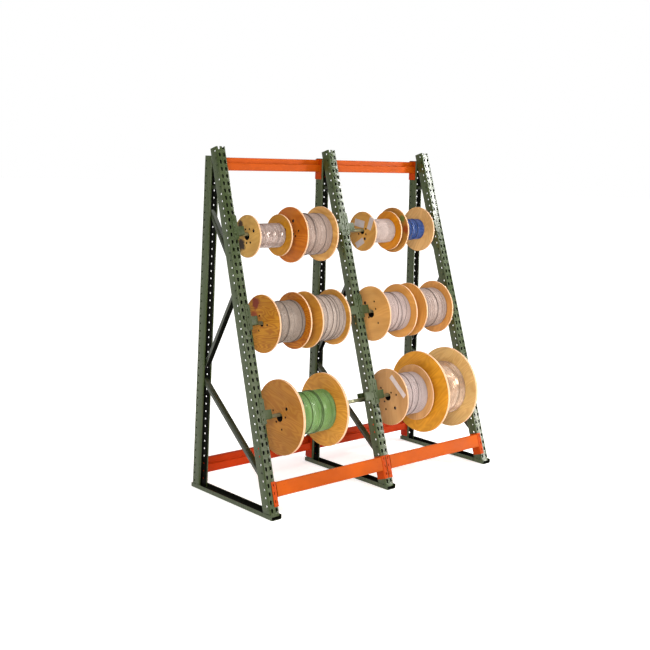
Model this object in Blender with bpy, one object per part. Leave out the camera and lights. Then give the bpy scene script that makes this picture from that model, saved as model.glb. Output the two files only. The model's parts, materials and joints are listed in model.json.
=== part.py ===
"""Wire spool rack: a free-standing two-bay reel rack made of slotted storage-rack posts.

Three leaning post frames carry six step beams, twelve rod cradles and six lift-out rods,
and eleven plywood spools of wire turn on the rods.  Metres, +Z up, X along the rods from the
left frame to the right one, and the front of the rack towards -Y.
"""
from math import asin, atan2, cos, hypot, pi, radians, sin

import bmesh
import bpy
from mathutils import Matrix, Vector

# ---------------------------------------------------------------- driving dimensions
BAY_PITCH = 1.025           # from one frame to the next
BASE_DEPTH = 0.864          # floor line of the leaning face to the back of the rear post
POST_SIZE = 0.0762          # width and depth of a post's C section
POST_WALL = 0.0025
POST_LIP = 0.013            # returns along the open side of a post
FRONT_POST_LENGTH = 2.454   # along the slope
REAR_POST_HEIGHT = 2.273
POST_LAP = 0.006            # how far the two posts of a frame share metal at the top

RAIL_WALL = 0.003
RAIL_HEIGHT = 0.030
RAIL_NOSE = 0.007           # how far the base rail runs past both posts

BRACE_WIDTH = 0.040
BRACE_DEPTH = 0.026
BRACE_WALL = 0.0025
BRACE_INSET = 0.0142        # brace bolt, from the open side of its post
BRACE_OVERRUN = 0.012       # brace past its bolt
BOLT_RADIUS = 0.006
# a brace's bolt in the rear post and its bolt in the front post: above the floor, the second
# one measured up the slope, or below the level of the rear post's top, measured likewise
LOWER_BRACES = ((0.730, 0.256), (0.825, 1.463))
UPPER_BRACES = ((0.390, 0.733), (0.216, 0.206))

WELD_LAP = 0.0005           # welded pieces sink this far into each other
GAP = 0.0003                # between pieces that touch

BEAM_HEIGHT = 0.091
BEAM_DEPTH = 0.063
BEAM_WALL = 0.003
BEAM_STEP_DROP = 0.038
BEAM_STEP_DEPTH = 0.026
CONNECTOR_HEIGHT = 0.152
CONNECTOR_SPACING = 0.0088  # between the face legs of two connectors on one post
CONNECTOR_WALL = 0.004
CONNECTOR_DEPTH = 0.067     # leg along the inner side of the post
BEAM_DROP = 0.006           # top of a beam below the top of its connectors
DRAIN_LENGTH = 0.060
DRAIN_WIDTH = 0.012
TOP_BEAM_DROP = 0.004       # top of the upper connectors below the top of the rear posts
BACK_BEAM_LIFT = 0.010      # foot of the lower rear connectors above the base rails
FRONT_BEAM_LIFT = 0.046     # foot of the front connectors above the base rails, up the slope

CRADLE_RUNS = {"low": 0.610, "mid": 1.219, "top": 1.829}   # cradle floors, up the slope
CRADLE_WALL = 0.003
CRADLE_CUP_HEIGHT = 0.061
CRADLE_ARM = 0.051          # reach of the cup away from the post
CRADLE_CUP_DEPTH = 0.073    # inside, square to the slope
CRADLE_PLATE_SPACING = 0.0058   # between two cradles' face plates on one post
CRADLE_PLATE_BELOW = 0.026
CRADLE_PLATE_ABOVE = 0.136

ROD_RADIUS = 0.0127
ROD_END_GAP = 0.004         # rod end to the cradle's side plate
BARREL_BORE_RADIUS = 0.034  # inside of the barrel that the wire is wound on

# spool: level, bay, its left face from the middle of the bay, width over the flanges,
# flange radius, flange thickness, arbor hole radius, radius over the wire, wire colour, turns
SPOOLS = {
    "spool_a": ("top", 0, -0.353, 0.291, 0.147, 0.0127, 0.027, 0.089, "clear", 4),
    "spool_b": ("top", 0, 0.029, 0.295, 0.198, 0.0127, 0.027, 0.153, "grey", 6),
    "spool_c": ("mid", 0, -0.341, 0.284, 0.195, 0.0127, 0.019, 0.145, "grey", 5),
    "spool_d": ("mid", 0, 0.036, 0.267, 0.196, 0.0127, 0.022, 0.162, "grey", 5),
    "spool_e": ("low", 0, -0.308, 0.405, 0.246, 0.0190, 0.030, 0.144, "green", 9),
    "spool_f": ("top", 1, -0.283, 0.282, 0.149, 0.0127, 0.022, 0.090, "white", 4),
    "spool_g": ("top", 1, 0.037, 0.298, 0.173, 0.0127, 0.019, 0.085, "blue", 4),
    "spool_h": ("mid", 1, -0.340, 0.291, 0.200, 0.0127, 0.030, 0.148, "grey", 5),
    "spool_i": ("mid", 1, 0.051, 0.299, 0.198, 0.0127, 0.027, 0.151, "grey", 5),
    "spool_j": ("low", 1, -0.320, 0.277, 0.200, 0.0127, 0.027, 0.155, "grey", 5),
    "spool_k": ("low", 1, 0.007, 0.328, 0.295, 0.0190, 0.030, 0.196, "copper", 7),
}
TURN_FILL = 0.80            # wire tube across, as a share of the step between turns
TURN_RISE = 0.42            # how far the turns stand out of the core, as a share of the tube
TURN_POINTS = 12            # points on a turn
END_MARGIN = 0.006          # wire tube to flange

BAYS = ("left", "right")
FLANGE_SIDES = 36
BORE_SIDES = 12
ROD_SIDES = 16
BOLT_SIDES = 6
ROUND_ANGLE = radians(50)   # edges sharper than this stay sharp on a round piece

# ---------------------------------------------------------------- worked out from those
SPAN = len(BAYS) * BAY_PITCH + POST_SIZE

# The front post leans until its back edge meets the rear post's front edge at the top.
_reach = BASE_DEPTH - POST_SIZE + POST_LAP
LEAN = atan2(_reach, REAR_POST_HEIGHT) - asin(POST_SIZE / hypot(REAR_POST_HEIGHT, _reach))
LEANING = Matrix.Rotation(-LEAN, 4, "X")

PEAK_RUN = REAR_POST_HEIGHT / cos(LEAN)               # up the slope to the rear post's top
BAY_CLEAR = BAY_PITCH - POST_SIZE                     # between the posts of a bay
ROD_RUN = CRADLE_WALL + GAP + ROD_RADIUS              # rod centre above a cradle's underside
ROD_BACK = CRADLE_CUP_DEPTH - GAP - ROD_RADIUS        # rod centre behind the slotted face


def on_slope(back, run):
    """World (y, z) of a point `back` behind the slotted face and `run` up the slope."""
    return back * cos(LEAN) + run * sin(LEAN), run * cos(LEAN) - back * sin(LEAN)


def rod_centre(level):
    return on_slope(ROD_BACK, CRADLE_RUNS[level] + ROD_RUN)


def spool_centre(level, arbor):
    """World (y, z) of a spool's axis: its arbor hole hangs over the rod."""
    y, z = rod_centre(level)
    return y, z - (arbor - ROD_RADIUS - GAP)


# The origin is on the floor, under the middle of the rack.
SPOOL_FRONTS = [rod_centre(level)[0] - radius for level, _, _, _, radius, *_ in SPOOLS.values()]
FRONT_REACH = min(-RAIL_NOSE, *SPOOL_FRONTS)
BACK_REACH = BASE_DEPTH + max(RAIL_NOSE, GAP + CONNECTOR_WALL)
SHIFT = Vector((-SPAN / 2, -(FRONT_REACH + BACK_REACH) / 2, 0))


# ---------------------------------------------------------------- materials
def material(name, colour, roughness, metallic=0.0):
    made = bpy.data.materials.new(name)
    made.use_nodes = True
    shader = made.node_tree.nodes["Principled BSDF"]
    shader.inputs["Base Color"].default_value = (*colour, 1)
    shader.inputs["Roughness"].default_value = roughness
    shader.inputs["Metallic"].default_value = metallic
    made.diffuse_color = (*colour, 1)
    return made


def make_materials():
    return {
        "frame_green": material("frame_green", (0.12, 0.18, 0.10), 0.45),
        "beam_orange": material("beam_orange", (0.80, 0.14, 0.01), 0.40),
        "rod_steel": material("rod_steel", (0.30, 0.33, 0.27), 0.35, 0.8),
        "plywood": material("plywood", (0.62, 0.36, 0.13), 0.60),
        "wire_clear": material("wire_clear", (0.68, 0.58, 0.55), 0.30),
        "wire_grey": material("wire_grey", (0.50, 0.43, 0.40), 0.45),
        "wire_green": material("wire_green", (0.13, 0.40, 0.13), 0.40),
        "wire_white": material("wire_white", (0.82, 0.74, 0.74), 0.45),
        "wire_blue": material("wire_blue", (0.05, 0.10, 0.42), 0.40),
        "wire_copper": material("wire_copper", (0.66, 0.50, 0.42), 0.25),
    }


# ---------------------------------------------------------------- mesh helpers
def shade_round(mesh):
    mesh.shade_smooth()
    mesh.set_sharp_from_angle(angle=ROUND_ANGLE)


def finish(bm, name, look=None, rounded=False):
    bmesh.ops.recalc_face_normals(bm, faces=bm.faces)
    mesh = bpy.data.meshes.new(name)
    bm.to_mesh(mesh)
    bm.free()
    if rounded:
        shade_round(mesh)
    made = bpy.data.objects.new(name, mesh)
    bpy.context.scene.collection.objects.link(made)
    if look:
        mesh.materials.append(look)
    return made


def guide(made):
    """A shape that only cuts or joins another one."""
    made.hide_render = True
    made.display_type = "WIRE"
    return made


def prism(outline, length):
    """Closed prism of an (x, y) outline along +Z, as a bmesh."""
    bm = bmesh.new()
    face = bm.faces.new([bm.verts.new((x, y, 0)) for x, y in outline])
    swept = bmesh.ops.extrude_face_region(bm, geom=[face])
    top = [item for item in swept["geom"] if isinstance(item, bmesh.types.BMVert)]
    bmesh.ops.translate(bm, verts=top, vec=(0, 0, length))
    return bm


def block(name, low, high):
    bm = bmesh.new()
    bmesh.ops.create_cube(bm, size=1)
    size = [top - bottom for bottom, top in zip(low, high)]
    middle = [(top + bottom) / 2 for bottom, top in zip(low, high)]
    bmesh.ops.scale(bm, vec=size, verts=bm.verts)
    bmesh.ops.translate(bm, vec=middle, verts=bm.verts)
    return finish(bm, name)


def cylinder(name, radius, low, high, sides, look=None):
    """Closed cylinder about the local Z axis between two heights."""
    bm = bmesh.new()
    bmesh.ops.create_cone(
        bm, cap_ends=True, segments=sides, radius1=radius, radius2=radius, depth=high - low)
    bmesh.ops.translate(bm, verts=bm.verts, vec=(0, 0, (low + high) / 2))
    return finish(bm, name, look, rounded=True)


def modify(target, operand, operation):
    cut = target.modifiers.new(operation.lower(), "BOOLEAN")
    cut.operation = operation
    cut.solver = "EXACT"
    cut.object = guide(operand)


ALONG_X = Matrix.Rotation(pi / 2, 4, "Y")


def place(made, where, turn=None):
    """Set an object down, its place measured from the left frame's outer side and floor line."""
    made.matrix_world = Matrix.Translation(SHIFT + Vector(where)) @ (turn or Matrix.Identity(4))
    return made


# ---------------------------------------------------------------- post frames
def post_outline():
    """C section, x across and y from the slotted web to the open side."""
    half, wall, lip, deep = POST_SIZE / 2, POST_WALL, POST_LIP, POST_SIZE
    right = [(half, 0), (half, deep), (half - lip, deep), (half - lip, deep - wall)]
    right += [(half - wall, deep - wall), (half - wall, wall)]
    return right + [(-x, y) for x, y in reversed(right)]


def trim_below(bm, height):
    """Cut the mesh off level at a height and close it."""
    everything = bm.verts[:] + bm.edges[:] + bm.faces[:]
    cut = bmesh.ops.bisect_plane(
        bm, geom=everything, plane_co=(0, 0, height), plane_no=(0, 0, 1), clear_inner=True)
    edges = [item for item in cut["geom_cut"] if isinstance(item, bmesh.types.BMEdge)]
    bmesh.ops.edgeloop_fill(bm, edges=edges)


def front_post(name, x):
    bottom = -POST_SIZE         # long enough to be cut off level below its back edge
    bm = prism(post_outline(), FRONT_POST_LENGTH - bottom)
    bmesh.ops.translate(bm, verts=bm.verts, vec=(0, 0, bottom))
    bmesh.ops.transform(bm, matrix=LEANING, verts=bm.verts)
    trim_below(bm, RAIL_WALL - WELD_LAP)
    return place(finish(bm, name), (x, 0, 0))


def rear_post(name, x):
    bottom = RAIL_WALL - WELD_LAP
    bm = prism(post_outline(), REAR_POST_HEIGHT - bottom)
    turn = Matrix.Rotation(pi, 4, "Z")
    return place(finish(bm, name), (x, BASE_DEPTH, bottom), turn)


def base_rail(name, x):
    """Channel open upwards that both posts stand in."""
    inner = POST_SIZE / 2 - WELD_LAP
    outer = inner + RAIL_WALL
    right = [(outer, 0), (outer, RAIL_HEIGHT), (inner, RAIL_HEIGHT), (inner, RAIL_WALL)]
    outline = right + [(-a, b) for a, b in reversed(right)]
    length = BASE_DEPTH + 2 * RAIL_NOSE
    bm = prism(outline, length)
    turn = Matrix.Rotation(pi / 2, 4, "X")
    return place(finish(bm, name), (x, BASE_DEPTH + RAIL_NOSE, 0), turn)


def brace(name, x, rear_height, front_run):
    """Channel strut between two bolts, its open side downwards."""
    seat = POST_SIZE - BRACE_INSET
    rear = Vector((x, BASE_DEPTH - seat, rear_height))
    front = Vector((x, *on_slope(seat, front_run)))
    along = (front - rear).normalized()
    outer = BRACE_WIDTH / 2
    inner = outer - BRACE_WALL
    right = [(outer, 0), (outer, BRACE_DEPTH), (inner, BRACE_DEPTH), (inner, BRACE_WALL)]
    outline = right + [(-a, b) for a, b in reversed(right)]
    bm = prism(outline, (front - rear).length + 2 * BRACE_OVERRUN)
    bmesh.ops.translate(bm, verts=bm.verts, vec=(0, -BRACE_DEPTH / 2, -BRACE_OVERRUN))
    side = Vector((1, 0, 0))
    opening = along.cross(side)
    if opening.z > 0:
        opening, side = -opening, -side
    turn = Matrix((side, opening, along)).transposed().to_4x4()
    body = place(finish(bm, name), rear, turn)
    return [body, brace_bolt(name + "_rear", rear), brace_bolt(name + "_front", front)]


def brace_bolt(name, point):
    length = POST_SIZE - 2 * POST_WALL + 2 * WELD_LAP
    bolt = cylinder(name, BOLT_RADIUS, -length / 2, length / 2, BOLT_SIDES)
    return place(bolt, point, ALONG_X)


def frame(name, x, look):
    """One welded frame, from its base rail to its braces."""
    body = base_rail(name, x)
    body.data.materials.append(look)
    modify(body, front_post(name + "_front_post", x), "UNION")
    modify(body, rear_post(name + "_rear_post", x), "UNION")
    ends = list(LOWER_BRACES)
    ends += [(REAR_POST_HEIGHT - rear, PEAK_RUN - front) for rear, front in UPPER_BRACES]
    for number, (rear_height, front_run) in enumerate(ends):
        for piece in brace(f"{name}_brace_{number}", x, rear_height, front_run):
            modify(body, piece, "UNION")


# ---------------------------------------------------------------- step beams
def beam_outline(shrink=0.0):
    """(depth, height) of the step section; depth 0 is the flat outer face."""
    deep, high = BEAM_DEPTH - shrink, BEAM_HEIGHT - shrink
    ledge = BEAM_HEIGHT - BEAM_STEP_DROP - shrink
    upper = BEAM_DEPTH - BEAM_STEP_DEPTH - shrink
    return [(shrink, shrink), (deep, shrink), (deep, ledge), (upper, ledge), (upper, high), (shrink, high)]


def connector(name, x, side):
    """L-shaped end plate on a post's inner side at x, reaching into the bay towards `side`."""
    inner, outer = GAP, GAP + CONNECTOR_WALL
    face = -(GAP + CONNECTOR_WALL)
    edge = -(POST_SIZE - CONNECTOR_SPACING) / 2
    outline = [(outer, CONNECTOR_DEPTH), (inner, CONNECTOR_DEPTH), (inner, -GAP)]
    outline += [(edge, -GAP), (edge, face), (outer, face)]
    return finish(prism([(x + a * side, b) for a, b in outline], CONNECTOR_HEIGHT), name)


def beam(name, bay, foot, turn, look):
    """Step beam with its two connectors; foot is the (y, z) of the connectors' lower end."""
    where = (bay * BAY_PITCH + POST_SIZE + BAY_CLEAR / 2, *foot)
    length = BAY_CLEAR - 2 * (GAP + CONNECTOR_WALL - WELD_LAP)
    swing = Matrix(((0, 0, 1, 0), (1, 0, 0, 0), (0, 1, 0, 0), (0, 0, 0, 1)))
    low = CONNECTOR_HEIGHT - BEAM_DROP - BEAM_HEIGHT
    lift = Matrix.Translation((-length / 2, -(GAP + CONNECTOR_WALL), low))

    body = place(finish(prism(beam_outline(), length), name, look), where, turn @ lift @ swing)
    bm = prism(beam_outline(BEAM_WALL), length - 2 * BEAM_WALL)
    bmesh.ops.translate(bm, verts=bm.verts, vec=(0, 0, BEAM_WALL))
    hollow = place(finish(bm, name + "_hollow"), where, turn @ lift @ swing)
    drain = block(
        name + "_drain",
        (length / 2 - DRAIN_LENGTH / 2, BEAM_DEPTH / 2 - DRAIN_WIDTH / 2, -BEAM_WALL),
        (length / 2 + DRAIN_LENGTH / 2, BEAM_DEPTH / 2 + DRAIN_WIDTH / 2, 2 * BEAM_WALL))
    place(drain, where, turn @ lift)
    modify(body, hollow, "DIFFERENCE")
    modify(body, drain, "DIFFERENCE")
    for end, side in (("left", 1), ("right", -1)):
        piece = connector(f"{name}_connector_{end}", -side * BAY_CLEAR / 2, side)
        modify(body, place(piece, where, turn), "UNION")


def make_beams(look):
    backward = Matrix.Rotation(pi, 4, "Z")
    top = (BASE_DEPTH, REAR_POST_HEIGHT - TOP_BEAM_DROP - CONNECTOR_HEIGHT)
    back = (BASE_DEPTH, RAIL_HEIGHT + BACK_BEAM_LIFT)
    front = on_slope(0, RAIL_HEIGHT + FRONT_BEAM_LIFT)
    for bay, side in enumerate(BAYS):
        beam(f"beam_top_{side}", bay, top, backward, look)
        beam(f"beam_back_{side}", bay, back, backward, look)
        beam(f"beam_front_{side}", bay, front, LEANING, look)


# ---------------------------------------------------------------- rod cradles
def cradle(name, x, side, run, look):
    """Face plate, side plate and open-topped cup, welded into one bracket.

    x runs from the post's inner side into the bay, y behind the slotted face, z up the slope.
    """
    wall, lap, top = CRADLE_WALL, WELD_LAP, CRADLE_CUP_HEIGHT
    face = -GAP - wall
    edge = -(POST_SIZE - CRADLE_PLATE_SPACING) / 2
    reach = GAP + wall + CRADLE_ARM
    inside = CRADLE_CUP_DEPTH
    back = inside + wall
    parts = {
        "face": ((edge, face, -CRADLE_PLATE_BELOW), (GAP + wall, -GAP, CRADLE_PLATE_ABOVE)),
        "side": ((GAP, face + lap, lap), (GAP + wall, back, top - lap)),
        "front": ((GAP + wall - lap, face, 0), (reach, face + wall, top)),
        "floor": ((GAP + lap, face + lap, 0), (reach, back, wall)),
        "rear": ((GAP + lap, inside, lap), (reach - lap, back, top)),
    }
    plates = []
    for label, (low, high) in parts.items():
        xs = sorted((low[0] * side, high[0] * side))
        plate = block(f"{name}_{label}", (xs[0], *low[1:]), (xs[1], *high[1:]))
        plates.append(place(plate, (x, *on_slope(0, run)), LEANING))
    body = plates[0]
    body.name = name
    body.data.materials.append(look)
    for plate in plates[1:]:
        modify(body, plate, "UNION")


def make_cradles(look):
    for level, run in CRADLE_RUNS.items():
        for bay in range(len(BAYS)):
            left = bay * BAY_PITCH + POST_SIZE
            cradle(f"cradle_{level}_{2 * bay + 1}", left, 1, run, look)
            cradle(f"cradle_{level}_{2 * bay + 2}", left + BAY_CLEAR, -1, run, look)


# ---------------------------------------------------------------- rods and spools
def rod(name, bay, level, look):
    length = BAY_CLEAR - 2 * (GAP + CRADLE_WALL + ROD_END_GAP)
    made = cylinder(name, ROD_RADIUS, -length / 2, length / 2, ROD_SIDES, look)
    place(made, (bay * BAY_PITCH + POST_SIZE + BAY_CLEAR / 2, *rod_centre(level)), ALONG_X)


def winding_path(core, radius, tube, start, stop, turns):
    """Points of a wound tube: straight out of the core, round it, and straight back in."""
    steps = turns * TURN_POINTS
    points = []
    for step in range(steps + 1):
        angle = 2 * pi * step / TURN_POINTS
        height = start + (stop - start) * step / steps
        points.append(Vector((radius * cos(angle), radius * sin(angle), height)))
    inward = (core - tube) / radius
    for end, at in ((points[0], 0), (points[-1], len(points) + 1)):
        points.insert(at, Vector((end.x * inward, end.y * inward, end.z)))
    return points


def least_gap(points, tube):
    """Least clear distance between stretches of the tube a half turn or more apart."""
    closest = min(
        (points[a] - points[b]).length
        for a in range(1, len(points) - 1)
        for b in range(a + TURN_POINTS // 2, len(points) - 1))
    return closest - tube


def wound_barrel(name, radius, width, turns, look):
    """Barrel and wire of a spool: a plain core with an outer layer of turns fused on it."""
    step = (width - 2 * END_MARGIN) / (turns + TURN_FILL)
    tube = TURN_FILL * step
    start = END_MARGIN + tube / 2
    core = radius - tube * TURN_RISE
    points = winding_path(core, radius - tube / 2, tube, start, width - start, turns)
    print(f"{name}: {turns} turns, tube {tube * 1000:.1f} mm, gap {least_gap(points, tube) * 1000:.1f} mm")

    body = cylinder(name, core, 0, width, TURN_POINTS, look)
    curve = bpy.data.curves.new(name + "_wire", "CURVE")
    curve.dimensions = "3D"
    curve.twist_mode = "Z_UP"
    curve.bevel_depth = tube / 2
    curve.bevel_resolution = 0
    curve.use_fill_caps = True
    line = curve.splines.new("POLY")
    line.points.add(len(points) - 1)
    for spot, point in zip(line.points, points):
        spot.co = (*point, 1)
    wire = bpy.data.objects.new(name + "_wire", curve)
    bpy.context.scene.collection.objects.link(wire)
    bpy.context.view_layer.update()
    mesh = bpy.data.meshes.new_from_object(wire)
    shade_round(mesh)
    bpy.data.objects.remove(wire)
    solid = bpy.data.objects.new(name + "_wire", mesh)
    bpy.context.scene.collection.objects.link(solid)
    return body, solid


def bore(name, radius, low, high):
    """Cutter whose flats are a full radius from its axis."""
    return cylinder(name, radius / cos(pi / BORE_SIDES), low, high, BORE_SIDES)


def spool(name, row, looks):
    level, bay, offset, width, flange_radius, thickness, arbor, wire_radius, wire, turns = row
    empty = bpy.data.objects.new(name, None)
    bpy.context.scene.collection.objects.link(empty)
    middle = bay * BAY_PITCH + POST_SIZE + BAY_CLEAR / 2
    place(empty, (middle + offset, *spool_centre(level, arbor)), ALONG_X)

    def seat(made, height=0):
        made.parent = empty
        made.location = (0, 0, height)
        return made

    hole = seat(bore(name + "_arbor", arbor, -thickness, width + thickness))
    for side, height in (("left", 0), ("right", width - thickness)):
        label = f"{name}_flange_{side}"
        flange = cylinder(label, flange_radius, 0, thickness, FLANGE_SIDES, looks["plywood"])
        modify(seat(flange, height), hole, "DIFFERENCE")

    inner = width - 2 * thickness - 2 * GAP
    look = looks["wire_" + wire]
    body, outer_turns = wound_barrel(f"{name}_winding", wire_radius, inner, turns, look)
    modify(seat(body, thickness + GAP), seat(outer_turns, thickness + GAP), "UNION")
    hollow = seat(bore(name + "_hollow", BARREL_BORE_RADIUS, 0, width))
    modify(body, hollow, "DIFFERENCE")


def main():
    for item in list(bpy.data.objects):
        bpy.data.objects.remove(item, do_unlink=True)
    looks = make_materials()
    for number, side in enumerate(("left", "middle", "right")):
        frame(f"frame_{side}", number * BAY_PITCH + POST_SIZE / 2, looks["frame_green"])
    make_beams(looks["beam_orange"])
    make_cradles(looks["frame_green"])
    for level in CRADLE_RUNS:
        for bay, side in enumerate(BAYS):
            rod(f"rod_{level}_{side}", bay, level, looks["rod_steel"])
    for name, row in SPOOLS.items():
        spool(name, row, looks)
    bpy.context.view_layer.update()


main()
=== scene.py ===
"""Looks of a two-bay wire spool rack, laid out as a Blender add-on and run as a script.

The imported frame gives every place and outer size. The operators below make the punched posts,
channels, step beams, rod cradles, rods, plywood flanges and wound wire around it, and a plain
stage. Metres, +Z up, X along the rods, and the leaning front of the rack towards -Y.
"""

import json
from math import atan2, ceil, cos, floor, pi, radians, sin
from random import Random
from types import SimpleNamespace

import bmesh
import bpy
from bpy.props import FloatProperty, FloatVectorProperty, IntProperty, PointerProperty
from mathutils import Matrix, Vector

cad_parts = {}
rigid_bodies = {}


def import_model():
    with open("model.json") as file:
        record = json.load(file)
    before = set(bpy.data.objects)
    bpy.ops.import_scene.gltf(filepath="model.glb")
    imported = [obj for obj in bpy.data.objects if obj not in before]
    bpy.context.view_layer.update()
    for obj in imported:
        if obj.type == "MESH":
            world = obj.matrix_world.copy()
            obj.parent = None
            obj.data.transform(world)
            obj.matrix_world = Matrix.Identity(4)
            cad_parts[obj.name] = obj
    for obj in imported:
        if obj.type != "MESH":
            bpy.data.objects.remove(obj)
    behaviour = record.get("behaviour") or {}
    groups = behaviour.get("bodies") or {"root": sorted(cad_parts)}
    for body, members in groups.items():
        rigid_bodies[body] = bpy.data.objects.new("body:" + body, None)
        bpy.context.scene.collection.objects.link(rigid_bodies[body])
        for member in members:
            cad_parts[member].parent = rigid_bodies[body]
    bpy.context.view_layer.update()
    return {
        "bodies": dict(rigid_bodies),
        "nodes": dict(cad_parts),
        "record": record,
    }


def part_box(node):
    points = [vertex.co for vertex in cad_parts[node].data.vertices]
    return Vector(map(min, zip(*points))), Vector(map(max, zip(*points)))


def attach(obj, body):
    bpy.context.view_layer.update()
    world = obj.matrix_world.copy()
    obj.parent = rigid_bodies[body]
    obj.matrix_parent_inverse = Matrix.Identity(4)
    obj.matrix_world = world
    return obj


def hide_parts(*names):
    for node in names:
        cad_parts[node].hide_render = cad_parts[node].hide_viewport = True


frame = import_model()

bl_info = {
    "name": "Wire Spool Rack",
    "version": (1, 0, 0),
    "blender": (4, 5, 0),
    "location": "View3D > Sidebar > Spool Rack",
    "description": "Builds the finished surfaces of a slotted rack with plywood wire spools",
    "category": "Object",
}

INCH = 0.0254
SIDES = ("left", "middle", "right")
BAYS = ("left", "right")
LEVELS = ("low", "mid", "top")
RACK = "rack"
SPOOLS = sorted(body for body in frame["bodies"] if body.startswith("spool_"))

# The leaning front posts run parallel to the line through the lowest and the highest cradle.
_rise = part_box("cradle_top_1")[0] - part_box("cradle_low_1")[0]
LEAN = atan2(_rise.y, _rise.z)
UP_SLOPE = Vector((0, sin(LEAN), cos(LEAN)))
LEANING = Matrix.Rotation(-LEAN, 4, "X")


# ---- sizes and colours
def length(name, default, description):
    return FloatProperty(
        name=name, default=default, description=description, unit="LENGTH", precision=4)


def colour(name, default, description):
    return FloatVectorProperty(
        name=name, default=default, description=description, subtype="COLOR", size=3, min=0, max=1)


class RackSizes(bpy.types.PropertyGroup):
    post: length("Post", 0.0762, "Width and depth of a post's section")
    post_wall: length("Post wall", 0.0025, "Thickness of a post's steel")
    post_lip: length("Post lip", 0.013, "Returns along a post's open side")
    front_foot: length("Front foot", 0.018, "Lower end of the front posts, above the floor")
    bend: length("Bend radius", 0.008, "Outer radius of the posts' and rails' bends")
    pitch: length("Slot pitch", 2 * INCH, "Distance between rows of slots")
    column: length("Slot column", 0.7 * INCH, "Slots' distance from the middle of the post")
    slot_width: length("Slot width", 0.0178, "Width of a slot at its upper end")
    slot_height: length("Slot height", 0.0285, "Height of a slot")
    slot_taper: FloatProperty(
        name="Slot taper", default=0.84, description="Lower end of a slot as a share of its upper end")
    hole: length("Hole radius", 0.0065, "Radius of the round holes in a post's sides")
    hole_back: length("Hole set-back", 0.88 * INCH, "Round holes' distance behind the slotted face")
    hole_drop: length("Hole drop", 0.72 * INCH, "Round holes' distance below the middle of a slot")
    rail_wall: length("Rail wall", 0.003, "Thickness of a base rail")
    rail_height: length("Rail height", 0.030, "Height of a base rail")
    brace_width: length("Brace width", 0.040, "Width of a brace channel")
    brace_depth: length("Brace depth", 0.026, "Depth of a brace channel")
    brace_wall: length("Brace wall", 0.0025, "Thickness of a brace")
    brace_inset: length("Brace inset", 0.0142, "Brace bolts from the open side of a post")
    brace_overrun: length("Brace overrun", 0.012, "Brace past its bolt")
    connector_wall: length("Connector wall", 0.004, "Thickness of a beam's end connector")
    channel_bend: length("Channel bend", 0.007, "Outer radius of the braces' and cups' bends")
    beam_bend: length("Beam bend", 0.0055, "Radius along a step beam's edges")
    cradle_wall: length("Cradle wall", 0.003, "Thickness of a rod cradle")
    cup_height: length("Cup height", 0.061, "Height of a cradle's cup")
    cup_depth: length("Cup depth", 0.073, "Inside of a cradle's cup, front to back")
    clearance: length("Clearance", 0.0003, "Gap between pieces that touch")


class SpoolSizes(bpy.types.PropertyGroup):
    edge: length("Edge rounding", 0.0012, "Rounding of a flange's edges")
    bolt: length("Bolt hole", 0.0075, "Radius of the countersunk bolt holes round the arbor")
    sunk: length("Bolt depth", 0.0050, "How deep the bolts' ends lie in their holes")
    drive: length("Drive hole", 0.0115, "Radius of a flange's larger pin hole")
    turn_steps: IntProperty(name="Turn steps", default=40, min=12, description="Points on a turn of wire")


class RackColours(bpy.types.PropertyGroup):
    green: colour("Green paint", (0.032, 0.050, 0.012), "Paint of the posts, rails and cradles")
    # painted shade: near-black paint on the inner sides of the posts, rails and braces, where shade falls
    inside: colour("Inner side", (0.004, 0.005, 0.003), "Inner sides of the posts and rails")
    # the front beams are a lighter, yellower orange than the back beams
    front: colour("Front beams", (0.395, 0.065, 0.001), "Sun-faded orange of the front step beams")
    top: colour("Top beams", (0.39, 0.060, 0.001), "Orange paint of the top step beams")
    back: colour("Back beams", (0.41, 0.030, 0.001), "Unfaded red-orange of the back step beams")
    steel: colour("Rod steel", (0.17, 0.17, 0.10), "Bare steel of the rods")
    edge: colour("Plywood edge", (0.72, 0.45, 0.27), "Sawn edge of the flanges")
    paper: colour("Paper", (0.62, 0.54, 0.54), "Blank paper labels")
    floor: colour("Floor", (0.93, 0.93, 0.93), "Studio floor")


# ---- mesh helpers
SMOOTH_ANGLE = radians(32)


def link(name, data):
    """New object in the scene."""
    made = bpy.data.objects.new(name, data)
    bpy.context.scene.collection.objects.link(made)
    return made


def settled(made):
    """Mesh of an object once its modifiers or its curve's bevel are applied."""
    bpy.context.view_layer.update()
    return bpy.data.meshes.new_from_object(made.evaluated_get(bpy.context.evaluated_depsgraph_get()))


def finished_mesh(bm, name, looks):
    mesh = bpy.data.meshes.new(name)
    bm.to_mesh(mesh)
    bm.free()
    for look in looks:
        mesh.materials.append(look)
    return mesh


def lay(bm, move):
    bmesh.ops.transform(bm, matrix=move, verts=bm.verts)


def shift(bm, way, verts=None):
    bmesh.ops.translate(bm, vec=way, verts=verts or bm.verts)


def add_piece(bm, name, body, looks, replaces=(), wall=0.0, recalculate=True):
    """Turn a bmesh whose points are in the rack's own frame into a finished piece.

    A wall makes an open sheet that thick, inwards, with its last look on its inner side.
    """
    if recalculate and not wall:
        bmesh.ops.recalc_face_normals(bm, faces=bm.faces)
    made = link(name, finished_mesh(bm, name, looks))
    mesh = made.data
    if wall:
        thick = made.modifiers.new("Wall", "SOLIDIFY")
        thick.thickness = wall
        thick.offset = -1
        thick.use_even_offset = True
        thick.material_offset = len(looks) - 1
        mesh = settled(made)
        made.modifiers.clear()
        made.data = mesh
    mesh.shade_smooth()
    mesh.set_sharp_from_angle(angle=SMOOTH_ANGLE)
    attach(made, body)
    if replaces:
        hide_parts(*replaces)


def add_rack_piece(bm, name, looks, node_name, wall=0.0, move=Matrix.Identity(4)):
    """Add a steel piece of the rack that stands for one node."""
    lay(bm, move)
    add_piece(bm, name, RACK, looks, [node_name], wall)


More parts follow.
